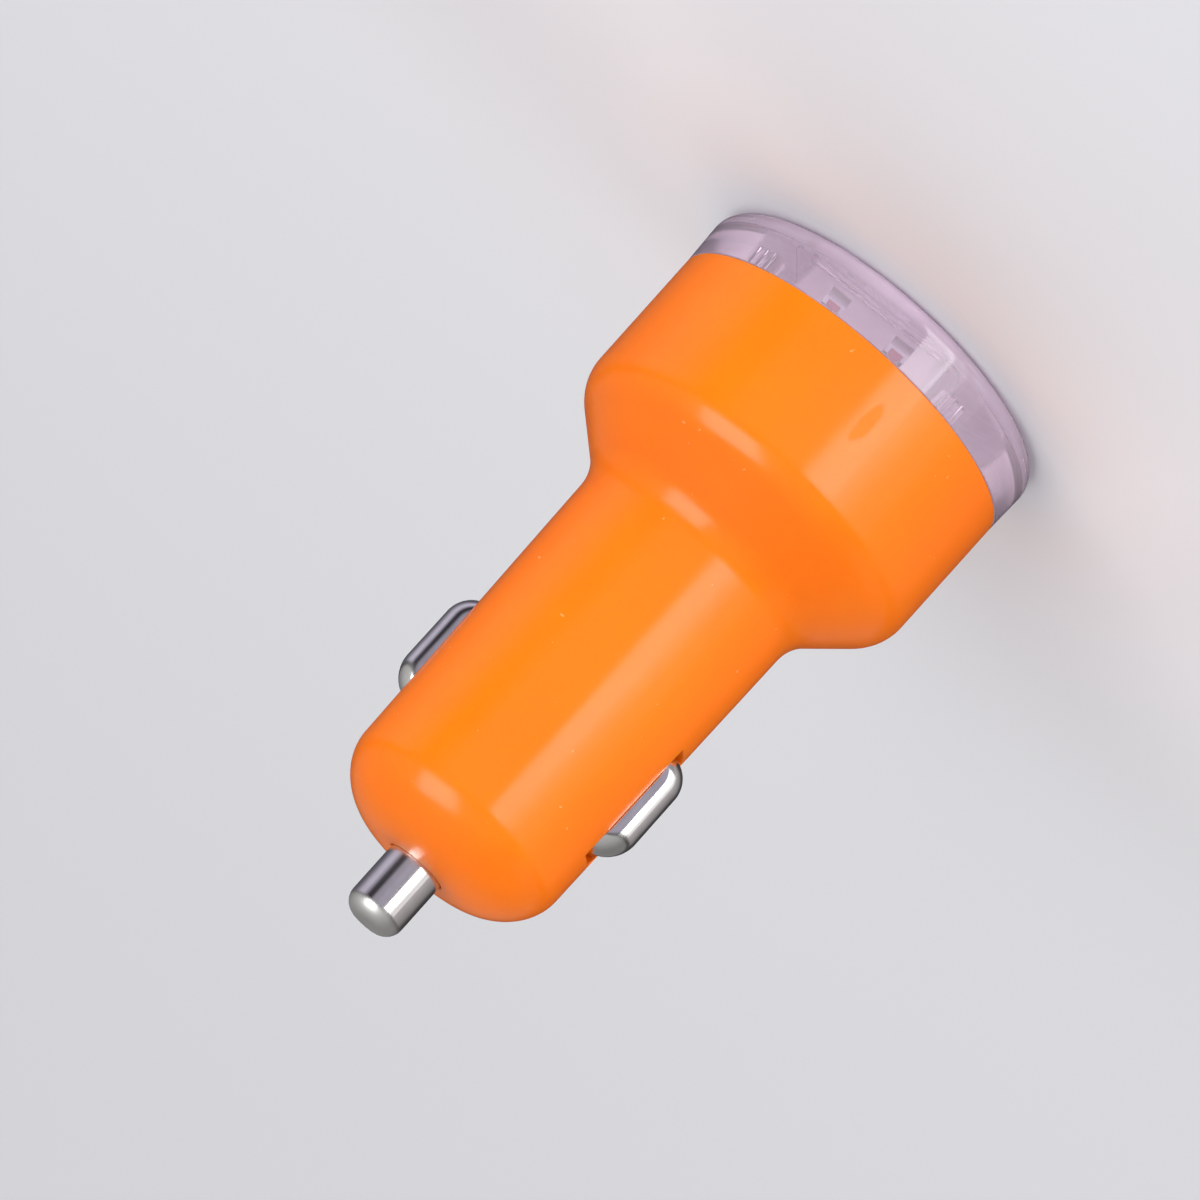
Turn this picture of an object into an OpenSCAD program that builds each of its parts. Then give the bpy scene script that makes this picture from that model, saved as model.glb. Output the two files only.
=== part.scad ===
// Car charger plug with two charging ports: a one-piece orange housing with a wide head and a
// slim barrel, a milky end cap, a sprung centre pin and two sprung side contacts.
// It stands on its cap, with the pin pointing up. The origin is the centre of the cap's face,
// +Z runs along the plug to the pin, and the side contacts lie on +X and -X.

/* [Head] */
// Outer diameter of the head at its open rim
head_d = 33.2; // [32.4:0.1:35]
// Height of the head from its rim to where it bends into the shoulder
head_h = 13; // [12.4:0.1:15]
// Draft of the head's side, in degrees
head_draft = 0.5; // [0.2:0.1:1]
// Slope of the shoulder away from the axis, in degrees
shoulder_slope = 46.6; // [40:0.2:55]
// Radius of both bends of the shoulder
shoulder_r = 4.23; // [3:0.01:5]
// Rounding of the head's rim, beside the cap
rim_r = 0.25; // [0.1:0.05:0.4]

/* [Barrel] */
// Diameter of the barrel beside its rounded nose
barrel_d = 20.5; // [20:0.1:21.2]
// Length of the barrel from the shoulder to its end face
barrel_l = 34.35; // [33.5:0.05:38]
// Draft of the barrel, in degrees
barrel_draft = 1; // [0.5:0.1:1.4]
// Length of the rounded nose
nose_l = 5.6; // [5.2:0.1:6.5]
// Diameter of the flat end face around the pin
nose_flat_d = 6.9; // [6.2:0.1:7.6]
// Wall of the housing
wall = 1.6; // [1.3:0.05:1.8]
// Thickness of the nose's end wall
end_wall = 2; // [1.6:0.1:2.6]
// Rounding of the hollow inside the nose
hollow_r = 3; // [2:0.1:4]

/* [Cap] */
// Height of the cap that shows past the head
cap_h = 5.4; // [4.8:0.1:6.5]
// Draft of the cap's side, wider towards its face, in degrees
cap_draft = 2.4; // [1:0.1:3]
// Rounding of the cap's outer edge
cap_edge_r = 1.7; // [1:0.1:2.2]
// Thickness of the cap's face
cap_face = 1; // [0.8:0.1:1.4]
// Thickness of the skirt that plugs into the head
skirt_t = 1.2; // [1:0.05:1.5]
// Height of the raised block behind the ports
block_h = 0.3; // [0.2:0.05:0.6]
// Margin of the raised block around the ports
block_margin = 1.35; // [0.6:0.05:1.4]
// Height of the snap lugs on the skirt
lug_h = 0.3; // [0.2:0.05:0.4]
// Width of a snap lug
lug_w = 3.2; // [2:0.1:5]
// Angle of the snap lugs to each side of the Y axis, in degrees
lug_angle = 32; // [26:1:40]

/* [Ports] */
// Distance of each port's outer side from the head's side
port_edge = 6.65; // [6.45:0.05:7.5]
// Width of a socket's metal shell
shell_w = 13.1; // [12.8:0.05:13.4]
// Height of a socket's metal shell
shell_h = 5.7; // [5.5:0.05:5.9]
// Length of a socket's metal shell
shell_l = 13.7; // [13:0.1:14.2]
// Sheet thickness of the shells
shell_t = 0.3; // [0.25:0.01:0.35]
// How far a shell's mouth lies behind the cap's face
port_recess = 0.25; // [0.1:0.05:0.5]
// Distance between the two windows of a shell's broad side
window_pitch = 6.2; // [5.5:0.1:7]
// Width of a window
window_w = 1.85; // [1.6:0.05:2.2]
// Length of a window
window_l = 6; // [4.5:0.1:7]
// Distance of a window from the shell's mouth
window_in = 1.35; // [1:0.05:2]
// How far the spring fingers in the windows reach into the mouth
finger_in = 0.4; // [0.2:0.05:0.5]
// Space between the socket's tongue and the shell at each side
tongue_side = 0.7; // [0.6:0.05:0.8]
// Thickness of the socket's tongue
tongue_t = 1.84; // [1.7:0.02:2]
// How far the tongue's tip lies behind the shell's mouth
tongue_in = 1.6; // [1:0.1:2.5]
// Width of a socket contact
contact_w = 1; // [0.8:0.05:1.2]

/* [Pin] */
// Diameter of the centre pin
pin_d = 5.12; // [4.6:0.02:5.6]
// Length of the pin past the nose
pin_out = 6.13; // [5:0.01:7]
// Rounding of the pin's tip
pin_tip_r = 1.55; // [1:0.05:2]
// Diameter of the pin's flange inside the nose
flange_d = 7.4; // [6.6:0.1:8.4]
// Thickness of the flange
flange_t = 1.2; // [0.8:0.1:1.6]
// Length of the hollow tail behind the flange
tail_l = 2.6; // [1.5:0.1:3]
// Wire diameter of the pin's spring
spring_wire = 0.4; // [0.3:0.02:0.45]
// Number of turns of the pin's spring
spring_turns = 11; // [8:1:13]

/* [Side contacts] */
// Distance of the slots from the nose's end face
slot_in = 9.15; // [8.8:0.05:10.5]
// Length of a slot
slot_l = 11.7; // [11.4:0.1:12.8]
// Width of a slot
slot_w = 4; // [3.8:0.1:4.4]
// Width of a side contact
clip_w = 3.5; // [3:0.05:3.6]
// How far a side contact stands out of the barrel
clip_out = 1.7; // [1.5:0.02:2]
// Sheet thickness of the side contacts
clip_t = 0.4; // [0.3:0.05:0.5]
// Rounding of the long edges of a side contact
clip_edge_r = 1.2; // [0.8:0.05:1.3]
// How far a side contact's flanks reach into the slot
clip_flank = 0.5; // [0.3:0.05:0.8]
// Slope of the ends of a side contact away from the axis, in degrees
clip_slope = 75; // [70:1:80]
// Radius of the contact's bend towards the head
clip_head_r = 2.6; // [2.5:0.05:2.8]
// Radius of the contact's bend towards the nose
clip_nose_r = 3; // [2.6:0.05:3.2]
// Length of the run inside the barrel, from the foot to the slot
clip_run = 8.1; // [7.4:0.1:8.8]

/* [Boards] */
// Thickness of both circuit boards
board_t = 1.2; // [1:0.1:1.6]
// Gap between the edges of the main board's lower part and the housing's wall
board_side = 1.1; // [0.8:0.05:1.5]
// Gap between the main board's narrow part and a fully pressed side contact
board_gap = 1.6; // [1.3:0.05:1.9]
// Thickness of the housing's ribs
rib_t = 1; // [0.8:0.1:1.4]

/* [Electronics] */
// Diameter of both capacitor cans
can_d = 6.3; // [5:0.1:6.6]
// Free space before and behind each can, along the main board
can_gap = 1.9; // [1:0.1:2.5]
// Part of the cans' common length that the input capacitor has
input_can_share = 0.58; // [0.5:0.01:0.62]
// Diameter of the inductor's core
core_d = 7.8; // [6:0.1:8]
// Height of the inductor's core
core_h = 5; // [4:0.1:5.4]
// Thickness of the core's flanges
core_flange = 1; // [0.7:0.1:1.2]
// Wire diameter of the inductor's winding
winding_wire = 0.5; // [0.3:0.05:0.6]

/* [Fits] */
// Radial clearance of the sliding pin in the nose
pin_fit = 0.06; // [0.04:0.01:0.1]
// Clearance between fixed pieces that slot together
fit = 0.1; // [0.06:0.01:0.15]
// Solder film between a soldered foot and its board
solder = 0.15; // [0.1:0.01:0.2]

/* [Hidden] */
$fn = 48;
bend_step = 6;          // most degrees that one facet of a bend turns

// Heights along the axis
rim_z = cap_h;
shoulder_z = rim_z + head_h;
head_r = head_d / 2;
head_top_r = head_r - head_h * tan(head_draft);
barrel_r = barrel_d / 2;
neck_r = barrel_r + (barrel_l - nose_l) * tan(barrel_draft);
neck_z = shoulder_z + (head_top_r - neck_r) / tan(shoulder_slope);
end_z = neck_z + barrel_l;
nose_z = end_z - nose_l;
ceiling_z = end_z - end_wall;
tip_z = end_z + pin_out;

function barrel_out(z) = barrel_r + (nose_z - z) * tan(barrel_draft);
function barrel_in(z) = barrel_out(z) - wall;
function head_in(z) = head_r - (z - rim_z) * tan(head_draft) - wall;

// Ports and the board that carries them
port_z = port_recess;
port_board_z = port_z + shell_l;
port_board_top = port_board_z + board_t;
port_board_r = head_in(port_board_top) - 5 * fit;
port_pitch = head_d - shell_h - 2 * port_edge;
port_ys = [-port_pitch / 2, port_pitch / 2];
tongue_w = shell_w - 2 * shell_t - 2 * tongue_side;
outer_contact_x = tongue_w / 2 - 2.05;
inner_contact_x = 1;
contact_xs = [-outer_contact_x, -inner_contact_x, inner_contact_x, outer_contact_x];
shell_r = 0.8;
contact_t = 0.25;
contact_proud = 0.1;                // how far a contact stands out of the tongue
contact_crown = 0.35;               // height of its crown, and the crown's length
contact_crown_l = 2.6;
contact_in = 0.8;                   // distance of its end from the tongue's tip
contact_back = 0.3;                 // distance of its bend from the port board
tail_out = 0.8;                     // how far soldered tails stick out of a board
tail_w = 0.6;
base_l = 3.4;                       // moulded block at a socket's back
tongue_gap = 0.64;                  // space behind the tongue

// Cap
cap_face_r = head_r + cap_h * tan(cap_draft);
skirt_r = head_in(port_board_z) - fit;
skirt_in_r = skirt_r - skirt_t;
skirt_end = port_board_z - fit;
lug_z = rim_z + 2.2;
lug_l = 1;
gusset_t = 0.5;
gusset_pitch = 1.15;
gusset_z = cap_face + 1.2;
block_w = shell_w + 2 * block_margin;
block_l = port_pitch + shell_h + 2 * block_margin;

// Slots and side contacts, drawn for the contact on +X
slot_top = end_z - slot_in;
slot_bottom = slot_top - slot_l;
crown_x = barrel_out((slot_top + slot_bottom) / 2) + clip_out;
run_gap = 0.65;                     // gap between the run and the housing's wall
lip_gap = 0.35;                     // gap between the lip and the wall, at rest
nose_gap = 0.47;                    // gap between the bridge's end and the slot's end
run_x = barrel_in(slot_bottom) - run_gap;
lip_x = barrel_in(slot_top) - lip_gap;
strip_w = clip_w - 0.5;
slope_run = 1 / tan(clip_slope);
half_turn = tan(clip_slope / 2);
head_corner_z = slot_bottom + (crown_x - run_x) * slope_run;
nose_corner_z = slot_top - nose_gap - (crown_x - lip_x) * slope_run;
foot_z = slot_bottom - clip_run;
foot_in = 1.6;                      // how far the forked foot reaches over the board
lip_l = 1.8;
clip_bend_r = 0.8;
bridge_x = barrel_out((slot_top + slot_bottom) / 2) - clip_flank;

// Main board
foot_room = 1.6;                    // from the step below a contact's foot to the foot
nose_room = 2.8;                    // from the board's upper end to the slots' upper end
board_low_top = foot_z - foot_room;
board_mid_top = slot_bottom - fit;
board_top = slot_top - nose_room;
board_low_w = 2 * (barrel_in(board_low_top) - board_side);
board_mid_w = 2 * (run_x - clip_t - board_gap);
board_top_w = 2 * (lip_x - clip_t - clip_out - board_gap);
tab_w = 3;
tab_x = board_low_w / 2 - tab_w / 2 - 1.3;
groove_x = board_low_w / 2 - 1.4;   // how far in the guide ribs reach

// Pin, spring and cup
pin_r = pin_d / 2;
flange_z = ceiling_z - flange_t;
tail_z = flange_z - tail_l;
tail_wall = 0.65;
spring_hole_r = pin_r - tail_wall - 0.15;
spring_top = end_z + 1.3;
spring_r = spring_hole_r - 0.2 - spring_wire / 2;
cup_floor = 0.5;
cup_z = board_top + solder;
cup_h = 2.2;
cup_r = spring_hole_r + 0.45;
prong_l = 3.8;
prong_w = 2.8;
prong_t = 0.5;
spring_bottom = cup_z + cup_floor;

// The cans share the length between the port board and the cup's prongs
can_y = board_t / 2 + can_d / 2 + fit;
lead_r = 0.25;
lead_x = 1.25;
lead_drop = 1.15;
lead_room = lead_drop + lead_r;
can_room = cup_z - prong_l - port_board_top - 3 * can_gap - 2 * lead_room;
input_can_l = input_can_share * can_room;
output_can_l = can_room - input_can_l;
output_can_z = port_board_top + can_gap + lead_room;
input_can_z = output_can_z + output_can_l + can_gap + lead_room;

// Diode, chip and chip capacitors stand in line between the port board and the core, evenly spaced
diode_w = 4.3;
diode_t = 2.1;
diode_l = 2.6;
chip_w = 3.9;
chip_t = 1.5;
chip_l = 4.9;
chip_lift = 0.15;
leg_pitch = 1.27;
leg_span = 6;
leg_t = 0.2;
leg_w = 0.42;
small_w = 1.25;
small_l = 2;
resistor_t = 0.5;
chip_cap_t = 0.85;
core_z = slot_bottom + 0.5;
back_gap = (core_z - core_d / 2 - port_board_top - diode_l - chip_l - small_l) / 4;
diode_z = port_board_top + back_gap + diode_l / 2;
chip_z = diode_z + (diode_l + chip_l) / 2 + back_gap;
chip_cap_z = chip_z + (chip_l + small_l) / 2 + back_gap;
chip_cap_x = (board_mid_w / 2 - foot_in) / 2;
resistor_x = (leg_span / 2 + groove_x) / 2;
fuse_w = 1.6;
fuse_t = 0.6;
fuse_l = 3.2;
fuse_x = board_top_w / 2 - fuse_w / 2 - 0.4;
fuse_z = board_top - fuse_l / 2 - 1.4;
led_w = 2;
led_h = 1.25;
led_t = 0.8;
led_x = (tab_x + tab_w / 2 + port_board_r) / 2;
film = 0.02;                        // solder under a flat part

// Unit vector along v
function unit(v) = v / norm(v);
// Vector v turned a quarter to the left
function left(v) = [-v[1], v[0]];
function xy(p) = [p[0], p[1]];
// Signed angle from direction u to direction v
function turn(u, v) = atan2(u[0] * v[1] - u[1] * v[0], u * v);

// Points of the bend with radius q[2] at corner q, between p and s, each with its left normal
function bend(p, q, s) =
  let (u = unit(xy(q) - xy(p)), v = unit(xy(s) - xy(q)), a = turn(u, v), r = q[2])
  r == 0 || a == 0 ? [[xy(q), unit(left(u) + left(v)) / cos(a / 2)]] :
  let (side = sign(a), start = xy(q) - u * r * tan(abs(a) / 2), centre = start + left(u) * side * r,
       n = ceil(abs(a) / bend_step), a0 = atan2(u[1], u[0]))
  [for (i = [0:n]) let (d = a0 + a * i / n, m = [-sin(d), cos(d)]) [centre - m * side * r, m]];

// Closed outline through corners [x, y, radius]
function rounded(c) =
  let (n = len(c))
  [for (i = [0:n - 1]) for (b = bend(c[(i + n - 1) % n], c[i], c[(i + 1) % n])) b[0]];

// Sheet of thickness t that lies to the left of the open path through corners [x, y, radius]
function sheet(c, t) =
  let (n = len(c), first = left(unit(xy(c[1]) - xy(c[0]))), last = left(unit(xy(c[n - 1]) - xy(c[n - 2]))),
       path = [[xy(c[0]), first], for (i = [1:n - 2]) each bend(c[i - 1], c[i], c[i + 1]),
               [xy(c[n - 1]), last]])
  concat([for (b = path) b[0]], [for (i = [len(path) - 1:-1:0]) path[i][0] + path[i][1] * t]);

// Rectangle with rounded corners, centred
module round_rect(w, h, r) {
  polygon(rounded([[w / 2, -h / 2, r], [w / 2, h / 2, r], [-w / 2, h / 2, r], [-w / 2, -h / 2, r]]));
}

// Outline in X and Z, extruded along Y and centred
module along_y(w) { rotate([90, 0, 0]) linear_extrude(w, center = true) children(); }
// Outline in Y and Z, extruded along X and centred
module along_x(w) { rotate([90, 0, 90]) linear_extrude(w, center = true) children(); }

// Closed solid through rings of points, one ring after the other
module loft(rings) {
  n = len(rings[0]);
  last = len(rings) - 1;
  sides = [for (k = [0:last - 1], j = [0:n - 1]) let (i = (j + 1) % n)
    [k * n + j, (k + 1) * n + j, (k + 1) * n + i, k * n + i]];
  polyhedron([for (r = rings) each r],
    concat([[for (j = [0:n - 1]) j]], sides, [[for (j = [n - 1:-1:0]) last * n + j]]), convexity = 10);
}

// Solid form of the housing's outside: the nose is a quarter of an ellipse around the flat end face
module housing_outside() {
  flat_r = nose_flat_d / 2;
  rotate_extrude() polygon(concat(
    rounded([[0, nose_z, 0], [0, rim_z, 0], [head_r, rim_z, rim_r],
             [head_top_r, shoulder_z, shoulder_r], [neck_r, neck_z, shoulder_r]]),
    [for (t = [0:7.5:90]) [flat_r + (barrel_r - flat_r) * cos(t), nose_z + nose_l * sin(t)]],
    [[0, end_z]]));
}

// Hollow of the housing: the outside moved in by the wall
module housing_inside() {
  shift = wall * tan(shoulder_slope / 2);
  rotate_extrude() polygon(rounded([
    [0, rim_z - 1, 0], [head_in(rim_z - 1), rim_z - 1, 0],
    [head_top_r - wall, shoulder_z - shift, shoulder_r - wall],
    [neck_r - wall, neck_z - shift, shoulder_r + wall],
    [barrel_in(ceiling_z), ceiling_z, hollow_r], [0, ceiling_z, 0]]));
}

// One-piece moulded housing: shell, guide grooves for the main board, ledges for the port board
module housing() color([1, 0.46, 0.06]) {
  difference() {
    union() {
      difference() {
        housing_outside();
        housing_inside();
      }
      intersection() {
        housing_outside();
        union() {
          board_guides();
          port_board_ledges();
        }
      }
    }
    for (side = [0, 180]) rotate([0, 0, side])
      translate([barrel_r - 3 * wall, -slot_w / 2, slot_bottom]) cube([5 * wall, slot_w, slot_l]);
    translate([0, 0, ceiling_z - 1]) cylinder(r = pin_r + pin_fit, h = end_wall + 2);
    for (a = lug_angles()) rotate([0, 0, a])
      translate([0, -lug_w / 2 - fit, lug_z - fit])
        cube([head_in(lug_z) + lug_h + fit, lug_w + 2 * fit, lug_l + 2 * fit]);
  }
}

// Rib pairs that hold the main board's edges
module board_guides() {
  low = shoulder_z - 0.8;
  for (side = [0, 180], s = [-1, 1]) rotate([0, 0, side])
    translate([groove_x, s * (board_t / 2 + fit + rib_t / 2) - rib_t / 2, low])
      cube([head_r - groove_x, rib_t, board_low_top - low - 0.6]);
}

// Ledges that the port board is pushed against
module port_board_ledges() {
  inner_r = port_board_r - 1.8;
  for (a = [45:90:315]) rotate([0, 0, a])
    translate([inner_r, -rib_t / 2, port_board_top + fit])
      cube([head_r - inner_r, rib_t, neck_z - port_board_top - 2]);
}

function lug_angles() = [90 - lug_angle, 90 + lug_angle, 270 - lug_angle, 270 + lug_angle];

// Milky end cap: face with two port openings, visible rim, and a skirt that snaps into the head
module end_cap() color([0.82, 0.72, 0.8, 0.6]) {
  difference() {
    union() {
      rotate_extrude() polygon(rounded([
        [0, 0, 0], [cap_face_r, 0, cap_edge_r], [head_r, rim_z, rim_r], [skirt_r, rim_z, 0],
        [skirt_r, skirt_end, 0], [skirt_in_r, skirt_end, 0], [skirt_in_r, cap_face, 0],
        [0, cap_face, 0]]));
      translate([-block_w / 2, -block_l / 2, cap_face / 2]) cube([block_w, block_l, cap_face / 2 + block_h]);
      for (a = lug_angles()) rotate([0, 0, a]) {
        along_y(lug_w) polygon([[skirt_r - 0.2, lug_z], [skirt_r + lug_h, lug_z],
          [skirt_r + lug_h, lug_z + 0.3 * lug_l], [skirt_r - 0.2, lug_z + lug_l]]);
        for (k = [-1:1]) translate([skirt_in_r - 1, gusset_pitch * k - gusset_t / 2, gusset_z])
          cube([1.3, gusset_t, skirt_end - gusset_z - 1]);
      }
    }
    for (y = port_ys) translate([0, y, -1])
      linear_extrude(cap_face + 3) round_rect(shell_w + 2 * fit, shell_h + 2 * fit, shell_r + fit);
  }
}

// Sprung centre pin, turned: rounded tip, flange behind the end wall, hollow tail
module center_pin() color([0.8, 0.8, 0.78]) {
  difference() {
    rotate_extrude() polygon(rounded([
      [0, tail_z, 0], [pin_r - 0.1, tail_z, 0], [pin_r - 0.1, flange_z, 0],
      [flange_d / 2, flange_z, 0.2], [flange_d / 2, ceiling_z, 0.2], [pin_r, ceiling_z, 0],
      [pin_r, tip_z, pin_tip_r], [0, tip_z, 0]]));
    translate([0, 0, tail_z - 1]) cylinder(r = spring_hole_r, h = spring_top - tail_z + 1);
  }
}

// Height of the spring's wire after t turns: one closed turn at each end
function coil_rise(t) =
  let (dead = spring_wire * 1.08, low = spring_bottom + spring_wire / 2 + 0.02,
       high = spring_top - spring_wire / 2 - 0.02, open = (high - low - 2 * dead) / (spring_turns - 2))
  t < 1 ? low + dead * t :
  t > spring_turns - 1 ? high - dead * (spring_turns - t) :
  low + dead + open * (t - 1);

// Coil spring between the cup and the pin, one wire swept along a helix
module pin_spring() color([0.62, 0.62, 0.64]) {
  sides = 8;
  per_turn = 16;
  loft([for (k = [0:spring_turns * per_turn]) let (t = k / per_turn, a = 360 * t)
    [for (j = [0:sides - 1]) let (b = -360 * j / sides, r = spring_r + spring_wire / 2 * cos(b))
      [r * cos(a), r * sin(a), coil_rise(t) + spring_wire / 2 * sin(b)]]]);
}

// Brass cup on the end of the main board, with two soldered prongs
module spring_cup() color([0.85, 0.68, 0.36]) {
  difference() {
    translate([0, 0, cup_z]) cylinder(r = cup_r, h = cup_h);
    translate([0, 0, cup_z + cup_floor]) cylinder(r = spring_hole_r, h = cup_h);
  }
  for (side = [-1, 1])
    translate([-prong_w / 2, side * (board_t / 2 + solder + prong_t / 2) - prong_t / 2, cup_z - prong_l])
      cube([prong_w, prong_t, prong_l + cup_floor / 2]);
}

// Side view of the crowned bridge, moved in by d on all sides but its open base
function bridge_outline(d, base) =
  let (reach = (crown_x - base) * slope_run - d / sin(clip_slope), in = d * half_turn)
  rounded([[base, head_corner_z - reach, 0], [base, nose_corner_z + reach, 0],
           [crown_x - d, nose_corner_z - in, clip_nose_r - d],
           [crown_x - d, head_corner_z + in, clip_head_r - d]]);

// Pressed bridge with rounded long edges: its side view shrinks towards them along a quarter turn
module bridge(d, base) {
  h = clip_w / 2 - d;
  r = clip_edge_r - d;
  loft([for (t = [0:15:180], s = t == 90 ? [-1, 1] : [sign(t - 90)])
    [for (p = bridge_outline(d + r * (1 - sin(t)), base)) [p[0], s * (h - r) - r * cos(t), p[1]]]]);
}

// Pressed side contact on +X: forked foot, run along the wall, crowned bridge, retaining lip
module side_contact() color([0.8, 0.8, 0.78]) {
  fork_x = board_mid_w / 2 - foot_in;
  inner = 0.02;                     // the plain strip's outer face lies this far inside the bridge's
  top_x = bridge_x + 0.5;
  shift = inner / sin(clip_slope);
  head_top = [top_x, head_corner_z - (crown_x - top_x) * slope_run + shift, 0];
  nose_top = [top_x, nose_corner_z + (crown_x - top_x) * slope_run - shift, 0];
  run_corner = [run_x, head_corner_z - (crown_x - run_x) * slope_run + shift, clip_bend_r];
  lip_corner = [lip_x, nose_corner_z + (crown_x - lip_x) * slope_run - shift, clip_bend_r];
  difference() {
    bridge(0, bridge_x);
    bridge(clip_t, bridge_x - 1);
  }
  difference() {
    along_y(strip_w) polygon(sheet([[fork_x, foot_z - clip_t / 2, 0],
      [run_x, foot_z - clip_t / 2, clip_bend_r], run_corner, head_top], clip_t - inner));
    translate([fork_x - 1, -board_t / 2 - solder, foot_z - clip_t])
      cube([1 + foot_in + solder, board_t + 2 * solder, 2 * clip_t]);
  }
  along_y(strip_w) polygon(sheet([nose_top, lip_corner, [lip_x, lip_corner[1] + lip_l, 0]], clip_t - inner));
}

module contact_right() { side_contact(); }
module contact_left() { rotate([0, 0, 180]) side_contact(); }

// Main board: stands on the port board, narrows between the side contacts
module main_board() color([0.1, 0.42, 0.2]) {
  a = board_low_w / 2;
  b = board_mid_w / 2;
  c = board_top_w / 2;
  r = 0.5;
  difference() {
    along_y(board_t) union() {
      polygon(rounded([[a, port_board_top, 0], [a, board_low_top, r], [b, board_low_top, r],
        [b, board_mid_top, r], [c, board_mid_top, r], [c, board_top, r], [-c, board_top, r],
        [-c, board_mid_top, r], [-b, board_mid_top, r], [-b, board_low_top, r],
        [-a, board_low_top, r], [-a, port_board_top, 0]]));
      for (x = [-tab_x, tab_x]) translate([x - tab_w / 2, port_board_z - tail_out])
        square([tab_w, board_t + tail_out + 0.5]);
    }
    for (z = [input_can_z, output_can_z], x = [-lead_x, lead_x])
      translate([x, 0, z - lead_drop]) rotate([90, 0, 0])
        cylinder(r = lead_r + fit, h = 2 * board_t, center = true);
  }
}

// Round board that carries both sockets
module port_board() color([0.1, 0.42, 0.2]) {
  difference() {
    translate([0, 0, port_board_z]) cylinder(r = port_board_r, h = board_t);
    for (s = [-1, 1]) {
      translate([s * tab_x, 0, port_board_z + board_t / 2])
        cube([tab_w + 2 * fit, board_t + 2 * fit, 2 * board_t], center = true);
      at_port(s) {
        for (x = contact_xs) translate([x, contact_y() - contact_t / 2, shell_l - 1])
          cylinder(r = tail_w / 2 + fit, h = board_t + 2);
        for (x = leg_xs()) translate([x - shell_t / 2 - fit, -leg_half() - fit, shell_l - 1])
          cube([shell_t + 2 * fit, 2 * leg_half() + 2 * fit, board_t + 2]);
      }
    }
  }
}

// Frame of a port: origin at its mouth, +Z into the plug, +Y away from the axis
module at_port(side) {
  translate([0, side * port_pitch / 2, port_z]) mirror([0, side < 0 ? 1 : 0, 0]) children();
}
function contact_y() = -shell_h / 2 + shell_t + tongue_gap + tongue_t + contact_proud;
function leg_xs() = [-(shell_w - shell_t) / 2, (shell_w - shell_t) / 2];
function leg_half() = 1;

// Folded metal shell of a socket, with two spring fingers in windows on each broad side
module socket_shell(side) color([0.78, 0.78, 0.8]) at_port(side) {
  difference() {
    linear_extrude(shell_l) difference() {
      round_rect(shell_w, shell_h, shell_r);
      round_rect(shell_w - 2 * shell_t, shell_h - 2 * shell_t, shell_r - shell_t);
    }
    for (x = [-1, 1]) translate([x * window_pitch / 2 - window_w / 2, -shell_h, window_in])
      cube([window_w, 2 * shell_h, window_l]);
  }
  for (s = [-1, 1], x = [-1, 1]) translate([x * window_pitch / 2, 0, 0]) mirror([0, s < 0 ? 1 : 0, 0])
    along_x(window_w - 0.7) polygon(sheet([
      [shell_h / 2, window_in + window_l + 0.01, 0], [shell_h / 2, window_in + window_l - 0.8, 0.8],
      [shell_h / 2 - finger_in, window_in + 1.9, 0.5],
      [shell_h / 2 - finger_in / 2, window_in + 0.9, 0]], -shell_t));
  for (x = leg_xs()) translate([x - shell_t / 2, -leg_half(), shell_l - 0.5])
    cube([shell_t, 2 * leg_half(), board_t + tail_out + 0.5]);
}
module socket_shell_a() { socket_shell(-1); }
module socket_shell_b() { socket_shell(1); }

// Moulded tongue and base of a socket, with grooves for the contacts
module socket_insulator(side) color([0.09, 0.09, 0.1]) at_port(side) {
  tongue_y = -shell_h / 2 + shell_t + tongue_gap;
  difference() {
    union() {
      translate([0, 0, shell_l - base_l]) linear_extrude(base_l)
        round_rect(shell_w - 2 * shell_t - 2 * fit, shell_h - 2 * shell_t - 2 * fit, shell_r - shell_t - fit);
      translate([0, tongue_y + tongue_t / 2, 0]) along_x(tongue_w) polygon(rounded([
        [-tongue_t / 2, tongue_in, 0.3], [tongue_t / 2, tongue_in, 0.3],
        [tongue_t / 2, shell_l - base_l + 0.5, 0], [-tongue_t / 2, shell_l - base_l + 0.5, 0]]));
    }
    for (x = contact_xs) translate([x - contact_w / 2 - fit / 2, contact_y() - contact_t - fit / 2, tongue_in + 0.6])
      cube([contact_w + fit, contact_t + fit, shell_l]);
  }
}
module socket_insulator_a() { socket_insulator(-1); }
module socket_insulator_b() { socket_insulator(1); }

// Four spring contacts of a socket, each crowned near the tongue's tip
module socket_contacts(side) color([0.88, 0.72, 0.35]) at_port(side) {
  y = contact_y();
  low = tongue_in + contact_in;
  back = shell_l - contact_back;
  for (x = contact_xs) translate([x, 0, 0]) {
    along_x(contact_w) polygon(sheet([[y, low, 0],
      [y + contact_crown, low + 0.46 * contact_crown_l, 0.6], [y, low + contact_crown_l, 0.6],
      [y, back, 0]], contact_t));
    translate([-tail_w / 2, y - contact_t, back - tail_w])
      cube([tail_w, contact_t, tail_w + contact_back + board_t + tail_out]);
  }
}
module socket_contacts_a() { socket_contacts(-1); }
module socket_contacts_b() { socket_contacts(1); }

// Parts of the inductor stand on the main board's -Y face, with their axis square to it
module on_core() {
  translate([0, -board_t / 2 - fit / 2, core_z]) rotate([90, 0, 0]) children();
}
function post_r() = core_d * 0.24;

// Ferrite drum core of the inductor
module inductor_core() color([0.2, 0.2, 0.22]) on_core() {
  cylinder(d = core_d, h = core_flange);
  cylinder(r = post_r(), h = core_h);
  translate([0, 0, core_h - core_flange]) cylinder(d = core_d, h = core_flange);
}

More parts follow.
